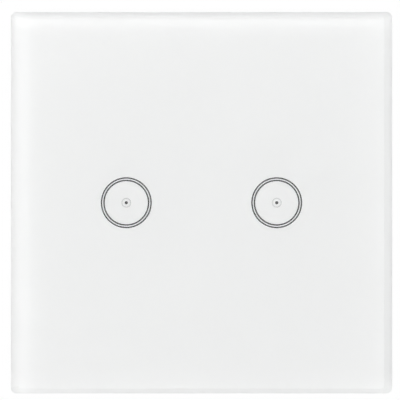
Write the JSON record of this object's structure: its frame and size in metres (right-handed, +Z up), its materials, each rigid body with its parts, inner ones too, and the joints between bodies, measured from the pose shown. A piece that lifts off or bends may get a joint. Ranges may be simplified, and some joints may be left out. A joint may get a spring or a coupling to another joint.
{
  "type": "smart touch light switch",
  "caption": "Square glass touch switch with ringed touch keys, a pull-off panel, a steel mounting frame and a housing with screw clamps for the wires.",
  "frame": {"origin": "middle of the wall screws' pattern, on the wall plane", "axes": "+Z up, +X to the right seen from the front, +Y into the wall; the glass faces -Y"},
  "size_m": [0.086, 0.036, 0.086],
  "materials": {
    "clear_glass": "polished",
    "white_print": "even gloss",
    "dark_metal": "polished",
    "light_band": "satin",
    "dark_print": "matt",
    "white_plastic": "fine satin",
    "board_green": "satin",
    "board_dark": "satin",
    "zinc_steel": "bright zinc",
    "spring_steel": "bright",
    "clear_plastic": "clear",
    "lamp_plastic": "gloss",
    "black_resin": "matt",
    "ceramic_tan": "matt",
    "tinned_steel": "dull",
    "black_header": "satin",
    "pressed_steel": "zinc plated",
    "housing_plastic": "fine texture",
    "relay_plastic": "satin",
    "ferrite": "matt",
    "winding_tape": "satin",
    "sleeve_black": "satin",
    "film_yellow": "gloss",
    "varistor_blue": "satin",
    "fuse_black": "satin",
    "terminal_plastic": "satin",
    "contact_brass": "bright",
    "terminal_steel": "nickel plated",
    "cage_steel": "zinc plated"
  },
  "bodies": {
    "base": {"board_socket": "black_header", "capacitor_large": "sleeve_black", "capacitor_small": "sleeve_black", "film_capacitor": "film_yellow", "frame_screws": "zinc_steel", "fuse": "fuse_black", "housing_lid": "housing_plastic", "lid_screws": "zinc_steel", "mounting_frame": "pressed_steel", "power_board": "board_green", "rear_housing": "housing_plastic", "rectifier": "black_resin", "relay_left": "relay_plastic", "relay_right": "relay_plastic", "terminal_block": "terminal_plastic", "terminal_contacts": "contact_brass", "transformer_bobbin": "winding_tape", "transformer_core": "ferrite", "varistor": "varistor_blue"},
    "panel": {"glass_panel": "clear_glass", "white_backing": "white_print", "touch_ring_left": "dark_metal", "touch_ring_right": "dark_metal", "light_ring_left": "light_band", "light_ring_right": "light_band", "indicator_dots": "dark_print", "front_frame": "white_plastic", "snap_hooks": "white_plastic", "touch_board": "board_green", "touch_board_screws": "zinc_steel", "touch_spring_left": "spring_steel", "touch_spring_right": "spring_steel", "light_guide_left": "clear_plastic", "light_guide_right": "clear_plastic", "indicator_lamps": "lamp_plastic", "touch_controller": "black_resin", "board_small_parts": "ceramic_tan", "wireless_module": "board_dark", "module_shield": "tinned_steel", "pin_header": "black_header"},
    "screw_1": {"terminal_screw_1": "terminal_steel"},
    "cage_1": {"terminal_cage_1": "cage_steel"},
    "screw_2": {"terminal_screw_2": "terminal_steel"},
    "cage_2": {"terminal_cage_2": "cage_steel"},
    "screw_3": {"terminal_screw_3": "terminal_steel"},
    "cage_3": {"terminal_cage_3": "cage_steel"},
    "screw_4": {"terminal_screw_4": "terminal_steel"},
    "cage_4": {"terminal_cage_4": "cage_steel"}
  },
  "joints": [
    {"name": "panel_pull", "type": "slide", "parent": "base", "child": "panel", "axis": [0, -1, 0], "range_m": [0, 0.03], "deforming": ["snap_hooks"]},
    {"name": "screw_turn_1", "type": "hinge", "parent": "base", "child": "screw_1", "pos_m": [-0.0135, 0.02, -0.02065], "axis": [0, -1, 0], "range_deg": [0, 2520]},
    {"name": "cage_slide_1", "type": "slide", "parent": "base", "child": "cage_1", "axis": [0, 1, 0], "range_m": [0, 0.0042]},
    {"name": "screw_turn_2", "type": "hinge", "parent": "base", "child": "screw_2", "pos_m": [-0.0045, 0.02, -0.02065], "axis": [0, -1, 0], "range_deg": [0, 2520]},
    {"name": "cage_slide_2", "type": "slide", "parent": "base", "child": "cage_2", "axis": [0, 1, 0], "range_m": [0, 0.0042]},
    {"name": "screw_turn_3", "type": "hinge", "parent": "base", "child": "screw_3", "pos_m": [0.0045, 0.02, -0.02065], "axis": [0, -1, 0], "range_deg": [0, 2520]},
    {"name": "cage_slide_3", "type": "slide", "parent": "base", "child": "cage_3", "axis": [0, 1, 0], "range_m": [0, 0.0042]},
    {"name": "screw_turn_4", "type": "hinge", "parent": "base", "child": "screw_4", "pos_m": [0.0135, 0.02, -0.02065], "axis": [0, -1, 0], "range_deg": [0, 2520]},
    {"name": "cage_slide_4", "type": "slide", "parent": "base", "child": "cage_4", "axis": [0, 1, 0], "range_m": [0, 0.0042]}
  ],
  "couplings": [
    {"joint": "screw_turn_1", "follows": "cage_slide_1", "rad_per_m": 10472},
    {"joint": "screw_turn_2", "follows": "cage_slide_2", "rad_per_m": 10472},
    {"joint": "screw_turn_3", "follows": "cage_slide_3", "rad_per_m": 10472},
    {"joint": "screw_turn_4", "follows": "cage_slide_4", "rad_per_m": 10472}
  ]
}
